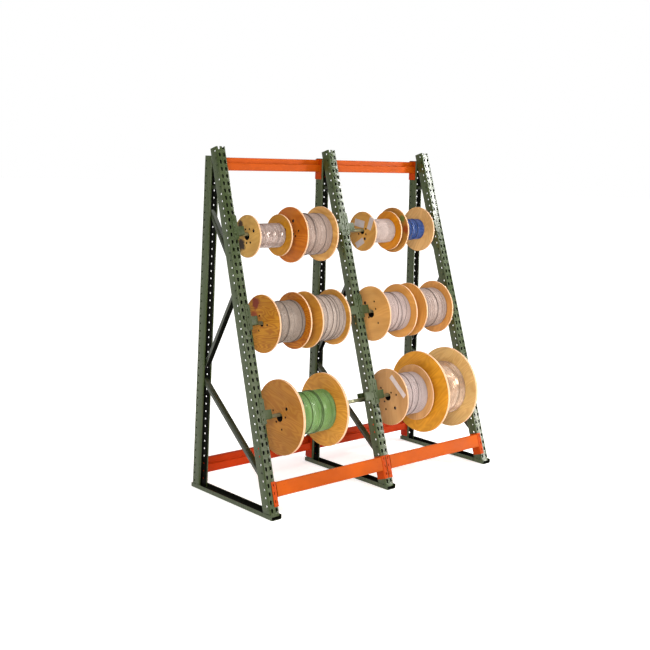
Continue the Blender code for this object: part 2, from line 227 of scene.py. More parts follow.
def bevel(bm, edges, offset, segments=2):
    return bmesh.ops.bevel(bm, geom=edges, offset=offset, segments=segments, profile=0.5,
                           affect="EDGES", material=-1)


def box_between(bm, low, high, soften=0.0):
    """Box between two corners, with softened edges."""
    verts = bmesh.ops.create_cube(bm, size=1)["verts"]
    low, high = Vector(low), Vector(high)
    bmesh.ops.scale(bm, vec=high - low, verts=verts)
    shift(bm, (high + low) / 2, verts)
    if soften:
        bevel(bm, list({edge for vert in verts for edge in vert.link_edges}), soften)


def drum(bm, radius, low, high, sides, turn, chamfer=0.0):
    """Closed cylinder along local Z between two heights, laid into the frame by a matrix."""
    verts = bmesh.ops.create_cone(
        bm, cap_ends=True, segments=sides, radius1=radius, radius2=radius, depth=high - low)["verts"]
    shift(bm, (0, 0, (high + low) / 2), verts)
    if chamfer:
        rims = [e for e in bm.edges if e.verts[0] in verts and len(e.link_faces) == 2
                and any(len(face.verts) == sides for face in e.link_faces)]
        new = bevel(bm, rims, chamfer)
        verts = list({*[v for v in verts if v.is_valid], *new["verts"]})
    bmesh.ops.transform(bm, matrix=turn, verts=verts)


def sweep(bm, faces, way):
    """Extrude faces along a vector. Returns the new faces and the new points."""
    made = bmesh.ops.extrude_face_region(bm, geom=faces)["geom"]
    verts = [item for item in made if isinstance(item, bmesh.types.BMVert)]
    shift(bm, way, verts)
    return [item for item in made if isinstance(item, bmesh.types.BMFace)], verts


def whole(bm):
    return bm.verts[:] + bm.edges[:] + bm.faces[:]


def cut(bm, point, outward, clear=True):
    """Cut through at a point, and clear away what lies past it in the outward direction."""
    bmesh.ops.bisect_plane(bm, geom=whole(bm), plane_co=point, plane_no=outward, clear_outer=clear)


def mirror(bm, into):
    """Swap the sides of a sheet that reaches into its bay from the right."""
    if into < 0:
        bmesh.ops.scale(bm, vec=(-1, 1, 1), verts=bm.verts)
        bmesh.ops.reverse_faces(bm, faces=bm.faces)


# ---- roll-formed steel
BEND_STEPS = 4
OPENING_SIDES = 12


def crease_lines(path):
    """Distances along a blank where its bends start, step and end, and its full reach."""
    lines, reach = [], 0.0
    for flat, radius in path:
        reach += flat
        if radius:
            arc = radius * pi / 2
            lines += [reach + arc * step / BEND_STEPS for step in range(BEND_STEPS + 1)]
            reach += arc
    return lines, reach


def fold(distance, path):
    """Where a point at that distance along the blank lies once every bend is made."""
    spot, heading, left = Vector((0, 0)), 0.0, distance
    for flat, radius in path:
        step = min(left, flat)
        spot += Vector((cos(heading), sin(heading))) * step
        left -= step
        if not radius or left <= 0:
            break
        turn = min(left / radius, pi / 2)
        centre = spot + Vector((-sin(heading), cos(heading))) * radius
        heading += turn
        spot = centre + Vector((sin(heading), -cos(heading))) * radius
        left -= turn * radius
    return spot


def add_opening(bm, centre, radius, stretch=0.0, taper=1.0):
    """Loop of edges for a punched opening: round, or stretched upwards into a slot."""
    where = Matrix.Translation((*centre, 0)) @ Matrix.Rotation(pi / OPENING_SIDES, 4, "Z")
    verts = bmesh.ops.create_circle(bm, segments=OPENING_SIDES, radius=radius, matrix=where)["verts"]
    upper = [vert for vert in verts if vert.co.y > centre[1]]
    lower = [vert for vert in verts if vert.co.y < centre[1]]
    shift(bm, (0, stretch / 2, 0), upper)
    shift(bm, (0, -stretch / 2, 0), lower)
    about = Matrix.Translation((-centre[0], -centre[1], 0))
    bmesh.ops.scale(bm, vec=(taper, 1, 1), space=about, verts=lower)


def punched_blank(low, high, pitch, openings):
    """Flat sheet from low to high across and one pitch long, with openings."""
    bm = bmesh.new()
    corners = [bm.verts.new((across, along, 0)) for across, along in (
        (low, 0), (high, 0), (high, pitch), (low, pitch))]
    for first, second in zip(corners, corners[1:] + corners[:1]):
        bm.edges.new((first, second))
    for opening in openings:
        add_opening(bm, *opening)
    bmesh.ops.triangle_fill(bm, use_beauty=True, edges=bm.edges[:], normal=(0, 0, 1))
    return bm


def lengthen(bm, pitch, rows):
    """Repeat one row of a blank until it is that many rows long."""
    row = whole(bm)
    for number in range(1, rows):
        copy = bmesh.ops.duplicate(bm, geom=row)["geom"]
        verts = [item for item in copy if isinstance(item, bmesh.types.BMVert)]
        shift(bm, (0, pitch * number, 0), verts)
    bmesh.ops.remove_doubles(bm, verts=bm.verts, dist=1e-5)


def roll_form(path, mirrored, pitch, rows=1, openings=()):
    """Punched sheet bent along its creases: local x across, y deep and z along."""
    lines, reach = crease_lines(path)
    bm = punched_blank(-reach if mirrored else 0, reach, pitch, openings)
    for line in lines + ([-line for line in lines] if mirrored else []):
        cut(bm, (line, 0, 0), (1, 0, 0), clear=False)
    lengthen(bm, pitch, rows)
    for vert in bm.verts:
        across, deep = fold(abs(vert.co.x), path)
        vert.co = (-across if vert.co.x < 0 else across, deep, vert.co.y)
    for face in bm.faces:
        face.normal_update()
    return bm


# ---- materials
EVEN = (1, 1, 1)
PLY = 0.0042  # thickness of one ply


def feed(tree, taker, inputs):
    """Set or link a node's inputs, by name or number."""
    for key, value in inputs.items():
        if isinstance(value, bpy.types.NodeSocket):
            tree.links.new(value, taker.inputs[key])
        else:
            taker.inputs[key].default_value = value


def node(tree, kind, inputs=None, output=0, **settings):
    """Add a shader node with its settings and inputs, and return one of its outputs."""
    made = tree.nodes.new("ShaderNode" + kind)
    for key, value in settings.items():
        setattr(made, key, value)
    feed(tree, made, inputs or {})
    return made.outputs[output]


def make_look(name, recipe, *values):
    """Material by name, made when it is first asked for from what a recipe gives its shader."""
    look = bpy.data.materials.get(name)
    if not look:
        look = bpy.data.materials.new(name)
        look.use_nodes = True
        tree = look.node_tree
        feed(tree, tree.nodes["Principled BSDF"], recipe(tree, *values))
    return look


def shade(tone, share):
    """A tone times one share, or times a share for each of its values."""
    shares = share if isinstance(share, tuple) else (share,) * 3
    return [value * part for value, part in zip(tone, shares)]


def rgba(tone, share=1.0):
    return (*(min(1.0, value) for value in shade(tone, share)), 1)


def mix(tree, factor, first, second):
    return node(tree, "Mix", {0: factor, 6: first, 7: second}, 2, data_type="RGBA")


def spread(tree, value, low, high, start=0.0, end=1.0):
    """Map a value's range to another one."""
    return node(tree, "MapRange", {
        "Value": value, "From Min": low, "From Max": high, "To Min": start, "To Max": end})


def two_tone(tree, value, low, high, tone, dark, light):
    """A tone that goes from a darker to a lighter share of itself as a value rises."""
    return mix(tree, spread(tree, value, low, high), rgba(tone, dark), rgba(tone, light))


def cover(tree, tint, value, low, high, most, hue):
    """A tint under a colour that grows from none to its most as a value rises."""
    return mix(tree, spread(tree, value, low, high, 0.0, most), tint, hue)


def reckon(tree, operation, *values):
    return node(tree, "Math", dict(enumerate(values)), operation=operation)


def place(tree):
    """Object coordinates."""
    return node(tree, "TexCoord", output=3)


def noise(tree, stretch, scale=1.0, detail=2.0, roughness=0.5, distortion=0.0,
          offset=(0, 0, 0), turn=(0, 0, 0)):
    """Noise on Object coordinates that are moved, turned and then stretched."""
    moved = node(tree, "Mapping", {"Vector": place(tree), "Location": offset, "Rotation": turn})
    where = node(tree, "Mapping", {"Vector": moved, "Scale": stretch})
    return node(tree, "TexNoise", {"Vector": where, "Scale": scale, "Detail": detail,
                                   "Roughness": roughness, "Distortion": distortion})


def bump(tree, height, strength, distance):
    return node(tree, "Bump", {"Height": height, "Strength": strength, "Distance": distance})


def paint(tree, tone, gloss, dusty, shine):
    """Sprayed paint: uneven gloss, faint orange peel, dust and a few scuffs to dark primer."""
    clouds = noise(tree, EVEN, 5.0, 4.0)
    tint = two_tone(tree, clouds, 0.35, 0.70, tone, 0.86, 1.10)
    streaks = noise(tree, (60, 60, 5), 1.0, 3.0)
    tint = cover(tree, tint, streaks, 0.45, 0.80, dusty, rgba((0.42, 0.40, 0.33)))
    scratches = noise(tree, (35, 220, 18), 1.0, 5.0, 0.62)
    tint = cover(tree, tint, scratches, 0.70, 0.73, 0.75, rgba(tone, 0.28))
    return {
        "Base Color": tint,
        "Roughness": spread(tree, clouds, 0.3, 0.75, gloss - 0.06, gloss + 0.14),
        "Normal": bump(tree, noise(tree, EVEN, 900.0, 1.0), 0.12, 0.0004),
        "Specular IOR Level": shine}


def rod_steel(tree, tone):
    """Drawn steel bar with rub marks round it and a dull olive film."""
    rubs = noise(tree, (260, 12, 12), 1.0, 4.0, 0.6)
    tint = two_tone(tree, noise(tree, (9, 30, 30), 1.0, 3.0), 0.35, 0.7, tone, 0.8, 1.7)
    return {
        "Base Color": cover(tree, tint, rubs, 0.58, 0.72, 0.6, rgba((0.50, 0.50, 0.46))),
        "Roughness": spread(tree, rubs, 0.3, 0.7, 0.30, 0.50),
        "Normal": bump(tree, rubs, 0.15, 0.0003),
        "Metallic": 0.65}


def dark_steel(tree):
    """Blackened bolt steel, also used as near-black painted shade on the walls of the flanges' holes and
    the windings' bores.
    """
    grime = noise(tree, EVEN, 300.0, 3.0)
    return {
        "Base Color": mix(tree, grime, rgba((0.004, 0.004, 0.004)), rgba((0.016, 0.012, 0.010))),
        "Roughness": spread(tree, grime, 0.3, 0.7, 0.5, 0.75),
        "Specular IOR Level": 0.2}


def plywood_face(tree, tone, centre, grain, figure, depth, blots):
    """Rotary-cut veneer: contour-like growth rings along the grain, fibres, patches and ragged blots."""
    turned = {"offset": Matrix.Rotation(grain, 3, "X") @ -centre, "turn": (grain, 0, 0)}
    wide = noise(tree, (3.0, 1.1, 4.2), figure, 1.6, 0.45, 0.35, **turned)
    rings = reckon(tree, "SINE", reckon(tree, "MULTIPLY", wide, 95.0))
    rings = spread(tree, rings, -1.0, 0.75, 1.0, 0.0)
    fibres = noise(tree, (60, 14, 420), 1.0, 4.0, 0.6, **turned)
    tint = two_tone(tree, noise(tree, (4, 2, 6), 1.6, **turned), 0.3, 0.7, tone, 0.82, 1.12)
    dark = rgba(tone, (0.62, 0.46, 0.34))
    tint = cover(tree, tint, rings, 0.0, 1.0, depth, dark)
    tint = mix(tree, spread(tree, fibres, 0.38, 0.66, 0.22, 0.0), tint, dark)
    for spot, radius, hue in blots:
        away = node(tree, "VectorMath", {0: place(tree), 1: spot}, 1, operation="DISTANCE")
        ragged = noise(tree, EVEN, 38.0, 4.0, 0.6)
        edge = reckon(tree, "MULTIPLY_ADD", ragged, radius * 1.3, away)
        tint = mix(tree, spread(tree, edge, radius * 1.30, radius * 1.75, 0.94, 0.0), tint, rgba(hue))
    return {
        "Base Color": tint,
        "Roughness": spread(tree, fibres, 0.3, 0.7, 0.42, 0.62),
        "Normal": bump(tree, mix(tree, 0.5, fibres, rings), 0.25, 0.0006),
        "Specular IOR Level": 0.25}


def plywood_edge(tree, tone):
    """Sawn edge: pale plies with thin darker glue lines and rough end grain."""
    across = node(tree, "SeparateXYZ", {"Vector": place(tree)})
    plies = reckon(tree, "PINGPONG", reckon(tree, "MULTIPLY", across, 1 / PLY), 0.5)
    grain = noise(tree, (500, 60, 60), 1.0, 3.0, 0.6)
    tint = two_tone(tree, grain, 0.35, 0.7, tone, 0.80, 1.05)
    glue = rgba(tone, (0.62, 0.48, 0.34))
    return {
        "Base Color": mix(tree, spread(tree, plies, 0.03, 0.11, 0.8, 0.0), tint, glue),
        "Normal": bump(tree, grain, 0.4, 0.0006),
        "Roughness": 0.75}


def wire_jacket(tree, tone, gloss, shine, metallic, mottle):
    """Extruded wire jacket: soft scuffs round the turns and a slow change of tone."""
    scuffs = noise(tree, (140, 9, 9), 1.0, 4.0, 0.6)
    tint = two_tone(tree, noise(tree, (14, 14, 14)), 0.35, 0.65, tone, 1 - mottle, 1 + mottle)
    return {
        "Base Color": cover(tree, tint, scuffs, 0.55, 0.75, mottle, rgba((0.9, 0.88, 0.86))),
        "Roughness": spread(tree, scuffs, 0.3, 0.7, gloss - 0.05, gloss + 0.12),
        "Metallic": metallic, "Coat Weight": shine, "Coat Roughness": 0.15}


def paper(tree, tone):
    """Blank paper with fine pulp and a few smudges."""
    smudge = noise(tree, EVEN, 26.0, 3.0)
    return {
        "Base Color": cover(tree, rgba(tone), smudge, 0.4, 0.75, 0.5, rgba(tone, 0.7)),
        "Normal": bump(tree, noise(tree, EVEN, 220.0, 4.0), 0.2, 0.0002),
        "Roughness": 0.7}


def studio_floor(tree, tone):
    """Pale matt floor that glows a little."""
    return {
        "Base Color": mix(tree, noise(tree, EVEN, 0.8), rgba(tone, 0.985), rgba(tone)),
        "Roughness": 0.9, "Specular IOR Level": 0.1,
        "Emission Color": (1, 1, 1, 1), "Emission Strength": 0.55}


# wire: record's slot, diameter, gloss, shine, metallic, mottle
WIRES = {
    "wire_clear": (0.0036, 0.24, 0.6, 0.30, 0.12),
    "wire_grey": (0.0048, 0.46, 0.0, 0.0, 0.08),
    "wire_green": (0.0058, 0.34, 0.2, 0.0, 0.10),
    "wire_white": (0.0040, 0.46, 0.0, 0.0, 0.08),
    "wire_blue": (0.0052, 0.36, 0.2, 0.0, 0.12),
    "wire_copper": (0.0036, 0.20, 0.7, 0.40, 0.08),
}

# spool: jacket colour, loose turns laid over the winding, darkened as painted shadow, and how far one of
# them strays
JACKETS = {
    "spool_a": ((0.365, 0.278, 0.250), 1, 0.4), "spool_b": ((0.322, 0.238, 0.200), 3, 0.6),
    "spool_c": ((0.240, 0.190, 0.157), 3, 0.8), "spool_d": ((0.362, 0.293, 0.255), 5, 0.6),
    "spool_e": ((0.127, 0.253, 0.067), 4, 0.9), "spool_f": ((0.430, 0.345, 0.318), 0, 0.0),
    "spool_g": ((0.010, 0.054, 0.235), 3, 0.5), "spool_h": ((0.425, 0.335, 0.315), 3, 0.6),
    "spool_i": ((0.365, 0.280, 0.248), 3, 0.6), "spool_j": ((0.388, 0.315, 0.308), 2, 0.4),
    "spool_k": ((0.520, 0.370, 0.262), 1, 0.3),
}

# spool: wood tones of its left and right flange, grain direction in degrees, size and depth of the
# figure
VENEERS = {
    "spool_a": ((0.55, 0.33, 0.090), (0.44, 0.200, 0.012), 20, 1.6, 0.30),
    "spool_b": ((0.52, 0.16, 0.010), (0.65, 0.375, 0.110), -8, 1.2, 0.50),
    "spool_c": ((0.48, 0.21, 0.015), (0.45, 0.155, 0.006), 6, 3.0, 0.85),
    "spool_d": ((0.54, 0.27, 0.035), (0.50, 0.250, 0.040), 14, 1.4, 0.32),
    "spool_e": ((0.42, 0.18, 0.025), (0.65, 0.315, 0.047), -10, 2.4, 0.50),
    "spool_f": ((0.52, 0.27, 0.060), (0.57, 0.215, 0.003), 35, 1.3, 0.30),
    "spool_g": ((0.42, 0.20, 0.035), (0.66, 0.400, 0.150), 60, 2.0, 0.32),
    "spool_h": ((0.66, 0.35, 0.100), (0.67, 0.335, 0.085), 15, 1.0, 0.18),
    "spool_i": ((0.58, 0.30, 0.070), (0.64, 0.310, 0.085), 75, 1.3, 0.22),
    "spool_j": ((0.54, 0.30, 0.120), (0.60, 0.330, 0.130), 85, 1.1, 0.18),
    "spool_k": ((0.71, 0.33, 0.022), (0.68, 0.480, 0.195), 40, 1.8, 0.36),
}


def ring(count, away, first):
    """Spots evenly round the middle."""
    return [(away, first + 360 / count * number) for number in range(count)]


# spool: bolts and drive hole in its flanges, each as (millimetres from the middle, degrees up
# from the back)
HOLES = {
    "spool_a": (((49, 67), (56, 114), (46, -87), (56, -135)), (82, 149)),
    "spool_b": (((47, 30), (42, 171), (62, 185), (101, 160), (50, -62)), (105, 108)),
    "spool_c": (ring(3, 58, 60), None),
    "spool_d": (ring(4, 50, 15), None),
    "spool_e": (((78, 25), (48, -47), (80, -110), (60, 170)), (95, 135)),
    "spool_f": (((44, 150), (44, 205), (52, 10), (44, -30)), (62, 240)),
    "spool_g": (ring(4, 45, 40), None),
    "spool_h": (((96, 107), (61, 139), (38, -55), (97, -143)), (96, 46)),
    "spool_i": (ring(4, 50, 5), None),
    "spool_j": (((90, 34), (46, 131), (87, 160), (52, -51), (94, -80)), (101, -139)),
    "spool_k": (ring(4, 75, 15), (110, 100)),
}

# dark or coloured blots on the outer face of a left flange: where as for the bolts, radius in metres,
# colour
FLANGE_BLOTS = {
    "spool_a": (((108, 44), 0.030, (0.03, 0.012, 0.010)), ((86, -48), 0.045, (0.012, 0.008, 0.012))),
    "spool_c": (((150, 62), 0.045, (0.150, 0.016, 0.008)), ((95, 25), 0.040, (0.26, 0.05, 0.012))),
    "spool_g": (((141, 138), 0.030, (0.12, 0.17, 0.04)), ((149, 173), 0.034, (0.26, 0.050, 0.010))),
}

# paper labels on the outer face of a left flange: how clean they are, then for each one where as
# for the bolts, width and height in millimetres, and turn in degrees
LABELS = {
    "spool_f": (0.72, ((67, 60), 105, 55, 8), ((107, 143), 44, 98, 20), ((92, -76), 92, 46, -32)),
    "spool_j": (1.05, ((132, 136), 190, 36, 39)),
}


# ---- where the frame has things
def points(name):
    return [vert.co for vert in frame["nodes"][name].data.vertices]


_standing = [co for co in points("frame_left") if co.z > 0.1]
FACE_Y = min(co.y - co.z * UP_SLOPE.y / UP_SLOPE.z for co in _standing)
BACK_Y = max(co.y for co in _standing)
REAR_TOP = max(co.z for co in _standing if co.y > BACK_Y - 0.001)
CENTRES = {side: sum(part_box("frame_" + side), Vector()).x / 2 for side in SIDES}
SLOPE = Matrix.Translation((0, FACE_Y, 0)) @ LEANING
OFF_SLOPE = SLOPE.inverted()
FRONT_TOP = max((OFF_SLOPE @ co).z for co in _standing)
PEAK = REAR_TOP / UP_SLOPE.z  # up the slope to the rear post's top
BEHIND = Matrix.Translation((0, BACK_Y, 0)) @ Matrix.Rotation(pi, 4, "Z")
ALONG_X = Matrix.Rotation(pi / 2, 4, "Y")
ACROSS_X = Matrix(((0, 0, 1, 0), (1, 0, 0, 0), (0, 1, 0, 0), (0, 0, 0, 1)))  # z along x, x along y

# a brace's bolt in the rear post and its bolt in the front post: above the floor, the second one
# measured up the slope, or, below nought, from the level of the rear post's top
BRACES = ((0.730, 0.256), (0.825, 1.463), (-0.390, -0.733), (-0.216, -0.206))
FIRST_FRONT_SLOT = 2.22 * INCH
FIRST_REAR_SLOT = 2.70 * INCH


def on_slope(x, back, run):
    return SLOPE @ Vector((x, back, run))


def slope_box(name):
    """Lowest and highest corner of a node, measured behind the slotted face and up the slope."""
    local = [OFF_SLOPE @ co for co in points(name)]
    return [Vector(pick(co[axis] for co in local) for axis in range(3)) for pick in (min, max)]


def inner_side(bay, end, post):
    """X of the post side that faces into a bay, and the way into the bay from there."""
    side = SIDES[BAYS.index(bay) + end]
    into = -1 if end else 1
    return CENTRES[side] + into * post / 2, into


def from_polar(away, angle):
    """(y, z) offset of a spot given in millimetres from the middle and degrees up from the back."""
    return away / 1000 * cos(radians(angle)), away / 1000 * sin(radians(angle))


def bore_radius(name, middle):
    """Radius of a node's twelve-sided bore about a line along x, across its flats."""
    return min((co - middle).yz.length for co in points(name)) * cos(pi / 12)


def spool_facts(spool):
    """Middle, flanges' and winding's boxes, and radii of a spool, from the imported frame."""
    left, right, reel = (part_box(spool + part) for part in ("_flange_left", "_flange_right", "_winding"))
    middle = (left[0] + left[1]) / 2
    return SimpleNamespace(
        left=left, right=right, reel=reel, middle=middle, wound=(reel[1].z - reel[0].z) / 2,
        arbor=bore_radius(spool + "_flange_left", middle),
        barrel=bore_radius(spool + "_winding", middle))


def on_flange(facts, x, where):
    """The point at x that lies that many millimetres and degrees from its spool's middle."""
    back, up = from_polar(*where)
    return Vector((x, facts.middle.y + back, facts.middle.z + up))


# ---- looks by name
BEAMS = ("top", "back", "front")

# paint: its tone, the share of that tone that it takes (for the braces, painted shade), gloss, dust and
# shine
PAINTS = {
    "Green": ("green", 1, 0.27, 0.06, 0.38),
    # the braces take a darker share of the green as painted shade
    "Brace": ("green", 0.38, 0.24, 0.02, 0.7),
    # Shaded: the near-black painted shade of the inner sides
    "Shaded": ("inside", 1, 0.55, 0.02, 0.1),
    **{f"Orange {beam} bar": (beam, 1, 0.40, 0.0, 0.07) for beam in BEAMS},
    **{f"Orange {beam} end": (beam, (0.95, 0.66, 0.5), 0.40, 0.0, 0.07) for beam in BEAMS},
}


def painted(context, *names):
    """Looks of the paints with these names."""
    looks = []
    for name in names:
        tone, share, *finish = PAINTS[name]
        tone = shade(getattr(context.scene.rack_colours, tone), share)
        looks.append(make_look(name + " paint", paint, tone, *finish))
    return looks


def bolt_steel_and_hole_shade():
    return make_look("Bolt steel", dark_steel)


# ---- frames
BOLT_RADIUS = 0.0048
SHANK_SIDES = 20
BOLT_CHAMFER = 0.0006
WASHER = (0.002, 0.0105, 24)  # thickness, radius and sides
NUT = (0.007, 0.0095, 6)
SPACER = (0.0068, 20)  # radius and sides


def post_openings(sizes):
    """Two tapered slots and, in each side, a round hole a little lower, for one pitch."""
    middle = sizes.pitch / 2
    stretch = sizes.slot_height - sizes.slot_width
    slots = [((column, middle), sizes.slot_width / 2, stretch, sizes.slot_taper)
             for column in (-sizes.column, sizes.column)]
    away = sizes.post / 2 + sizes.hole_back - sizes.bend * (2 - pi / 2)
    return slots + [((side * away, middle - sizes.hole_drop), sizes.hole) for side in (-1, 1)]


def post_sheet(sizes, first_slot, low, high):
    """Punched C section between two heights, with its slots on their pitch."""
    first = first_slot - sizes.pitch / 2
    start = first + floor((low - first) / sizes.pitch) * sizes.pitch
    rows = ceil((high - start) / sizes.pitch)
    bend = sizes.bend
    path = ((sizes.post / 2 - bend, bend), (sizes.post - 2 * bend, bend), (sizes.post_lip - bend, 0))
    bm = roll_form(path, True, sizes.pitch, rows, post_openings(sizes))
    shift(bm, (0, 0, start))
    return bm


class SPOOLRACK_OT_posts(bpy.types.Operator):
    """Roll-form the slotted posts: leaning ones in front, upright ones behind"""
    bl_idname = "spoolrack.posts"
    bl_label = "Slotted posts"

    def execute(self, context):
        sizes = context.scene.rack_sizes
        looks = painted(context, "Green", "Shaded")
        for side in SIDES:
            for row, first_slot, low, high, foot, move, top, up in (
                    ("front", FIRST_FRONT_SLOT, -sizes.post, FRONT_TOP, sizes.front_foot,
                     SLOPE, on_slope(0, 0, FRONT_TOP), UP_SLOPE),
                    ("rear", FIRST_REAR_SLOT, 0, REAR_TOP, sizes.rail_wall,
                     BEHIND, (0, 0, REAR_TOP), (0, 0, 1))):
                bm = post_sheet(sizes, first_slot, low, high)
                lay(bm, Matrix.Translation((CENTRES[side], 0, 0)) @ move)
                cut(bm, (0, 0, foot), (0, 0, -1))
                cut(bm, top, up)
                add_rack_piece(bm, f"{side}_{row}_post", looks, "frame_" + side, sizes.post_wall)
        return {"FINISHED"}


class SPOOLRACK_OT_rails(bpy.types.Operator):
    """Fold the base rails that the posts stand in"""
    bl_idname = "spoolrack.rails"
    bl_label = "Base rails"

    def execute(self, context):
        sizes = context.scene.rack_sizes
        looks = painted(context, "Green", "Shaded")
        bend = sizes.bend
        for side in SIDES:
            low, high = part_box("frame_" + side)
            path = (((high.x - low.x) / 2 - bend, bend), (sizes.rail_height - bend, 0))
            move = Matrix.Translation((CENTRES[side], high.y, 0)) @ Matrix.Rotation(pi / 2, 4, "X")
            add_rack_piece(roll_form(path, True, high.y - low.y), side + "_rail", looks,
                           "frame_" + side, sizes.rail_wall, move)
        return {"FINISHED"}


def add_channel(sizes, looks, side, number, height, run):
    """Channel between two bolts, with its open side down. Returns where the bolts are."""
    x, seat = CENTRES[side], sizes.post - sizes.brace_inset
    rear = Vector((x, BACK_Y - seat, height if height > 0 else REAR_TOP + height))
    front = on_slope(x, seat, run if run > 0 else PEAK + run)
    along = (front - rear).normalized()
    across = Vector((1, 0, 0))
    opening = along.cross(across)
    if opening.z > 0:
        opening, across = -opening, -across
    bend = sizes.channel_bend
    path = ((sizes.brace_width / 2 - bend, bend), (sizes.brace_depth - bend, 0))
    bm = roll_form(path, True, (front - rear).length + 2 * sizes.brace_overrun)
    turn = Matrix((across, opening, along)).transposed().to_4x4()
    lift = Matrix.Translation((0, -sizes.brace_depth / 2, -sizes.brace_overrun))
    add_rack_piece(bm, f"{side}_brace_{number}", looks, "frame_" + side, sizes.brace_wall,
                   Matrix.Translation(rear) @ turn @ lift)
    return rear, front


def add_bolt(bm, sizes, spot):
    """Shank across the post, a nut each side of the brace and a spacer out to the post."""
    reach = sizes.post / 2 - sizes.post_wall
    where = Matrix.Translation(spot) @ ALONG_X
    drum(bm, BOLT_RADIUS, -reach, reach, SHANK_SIDES, where)
    washer = sizes.brace_width / 2
    nut = washer + WASHER[0]
    spacer = nut + NUT[0]
    for way in (-1, 1):
        for low, high, (radius, sides) in (
                (washer, nut, WASHER[1:]), (nut, spacer, NUT[1:]), (spacer, reach, SPACER)):
            drum(bm, radius, *sorted((way * low, way * high)), sides, where, BOLT_CHAMFER)


class SPOOLRACK_OT_braces(bpy.types.Operator):
    """Fold the brace channels and put a bolt with its nuts and spacers at each end"""
    bl_idname = "spoolrack.braces"
    bl_label = "Braces and bolts"

    def execute(self, context):
        sizes = context.scene.rack_sizes
        looks = painted(context, "Brace", "Shaded")
        for side in SIDES:
            bolts = bmesh.new()
            for number, ends in enumerate(BRACES, 1):
                rear, front = add_channel(sizes, looks, side, number, *ends)
                for spot in (rear, front):
                    add_bolt(bolts, sizes, spot)
            add_rack_piece(bolts, side + "_brace_bolts", [bolt_steel_and_hole_shade()], "frame_" + side)
        return {"FINISHED"}


# ---- beams
STEP_BEAM = (0.063, 0.091, 0.053, 0.037)  # depth, height, the ledge's height, depth above it
BELOW_CONNECTOR = 0.006  # the bar's top below its connectors' tops
WELD_LENGTH = 0.0032
WELD_RISE = 0.0011
WELD_BACK = 0.0013
CONNECTOR_INSET = 0.0044  # of its edge from the side of the post
CONNECTOR_LEG = 0.067
CONNECTOR_HOOK = (0.0036, 0.013)  # its window's half width and straight stretch
HOOK_RISE = 1.23 * INCH


def beam_bar(bm, start, stop, bend, grow=0.0, back=0.0):
    """Step section, grown all round and set back, swept along x with its long edges rolled over."""
    low = -grow
    deep, high, ledge, upper = (size + grow for size in STEP_BEAM)
    outline = ((low, low), (deep, low), (deep, ledge), (upper, ledge), (upper, high), (low, high))
    corners = [bm.verts.new((start, y + back, z)) for y, z in outline]
    _, far = sweep(bm, [bm.faces.new(corners)], (stop - start, 0, 0))
    bevel(bm, [edge for vert in corners for edge in vert.link_edges if edge.other_vert(vert) in far],
          bend, 4)


def connector_sheet(sizes, height, into):
    """Hooked end plate: a leg over the post's slots and a leg back along its inner side."""
    start, bend = sizes.clearance + sizes.connector_wall, sizes.bend
    face_leg = sizes.post / 2 - CONNECTOR_INSET + start
    path = ((face_leg - bend, bend), (CONNECTOR_LEG + start - bend, 0))
    window = ((sizes.column - CONNECTOR_INSET, HOOK_RISE), *CONNECTOR_HOOK)
    bm = roll_form(path, False, sizes.pitch, ceil(height / sizes.pitch), [window])
    cut(bm, (0, 0, height), (0, 0, 1))
    shift(bm, (start - face_leg, -start, 0))
    mirror(bm, into)
    return bm


def hang_beam(sizes, looks, beam, bay):
    node_name = f"beam_{beam}_{bay}"
    name = f"{bay}_{beam}_beam_"
    leaning = beam == "front"
    low, high = slope_box(node_name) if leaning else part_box(node_name)
    height = high.z - low.z
    near, far = (inner_side(bay, end, sizes.post)[0] for end in (0, 1))
    move = Matrix.Translation(((near + far) / 2, 0, 0)) @ (SLOPE if leaning else BEHIND)
    move = move @ Matrix.Translation((0, 0, low.z))
    reach = (far - near) / 2
    start = sizes.clearance + sizes.connector_wall
    bar = reach - start
    bm = bmesh.new()
    beam_bar(bm, -bar, bar, sizes.beam_bend)
    for way in (-1, 1):
        ends = sorted((way * bar, way * (bar - WELD_LENGTH)))
        beam_bar(bm, *ends, sizes.beam_bend, WELD_RISE, WELD_BACK)
    lift = Matrix.Translation((0, -start, height - BELOW_CONNECTOR - STEP_BEAM[1]))
    add_rack_piece(bm, name + "bar", looks[:1], node_name, move=move @ lift)
    for end, into in (("left", 1), ("right", -1)):
        add_rack_piece(connector_sheet(sizes, height, into), name + end + "_connector", looks[1:],
                       node_name, sizes.connector_wall,
                       move @ Matrix.Translation((-into * reach, 0, 0)))


class SPOOLRACK_OT_beams(bpy.types.Operator):
    """Roll the step beams, weld them to their end connectors and hang them on the posts"""
    bl_idname = "spoolrack.beams"
    bl_label = "Step beams"

    def execute(self, context):
        for beam in BEAMS:
            looks = painted(context, f"Orange {beam} bar", f"Orange {beam} end")
            for bay in BAYS:
                hang_beam(context.scene.rack_sizes, looks, beam, bay)
        return {"FINISHED"}


# ---- cradles and rods
CRADLE_INSET = 0.0029  # of its plate's edge from the side of the post
CRADLE_HOOK = (0.0030, 0.010)  # its window's half width and straight stretch
CHEEK_FOOT = 0.001  # above the cup's underside
CHEEK_EASED = 0.0005
ROD_CHAMFER = 0.0012
ROD_SIDES = 48


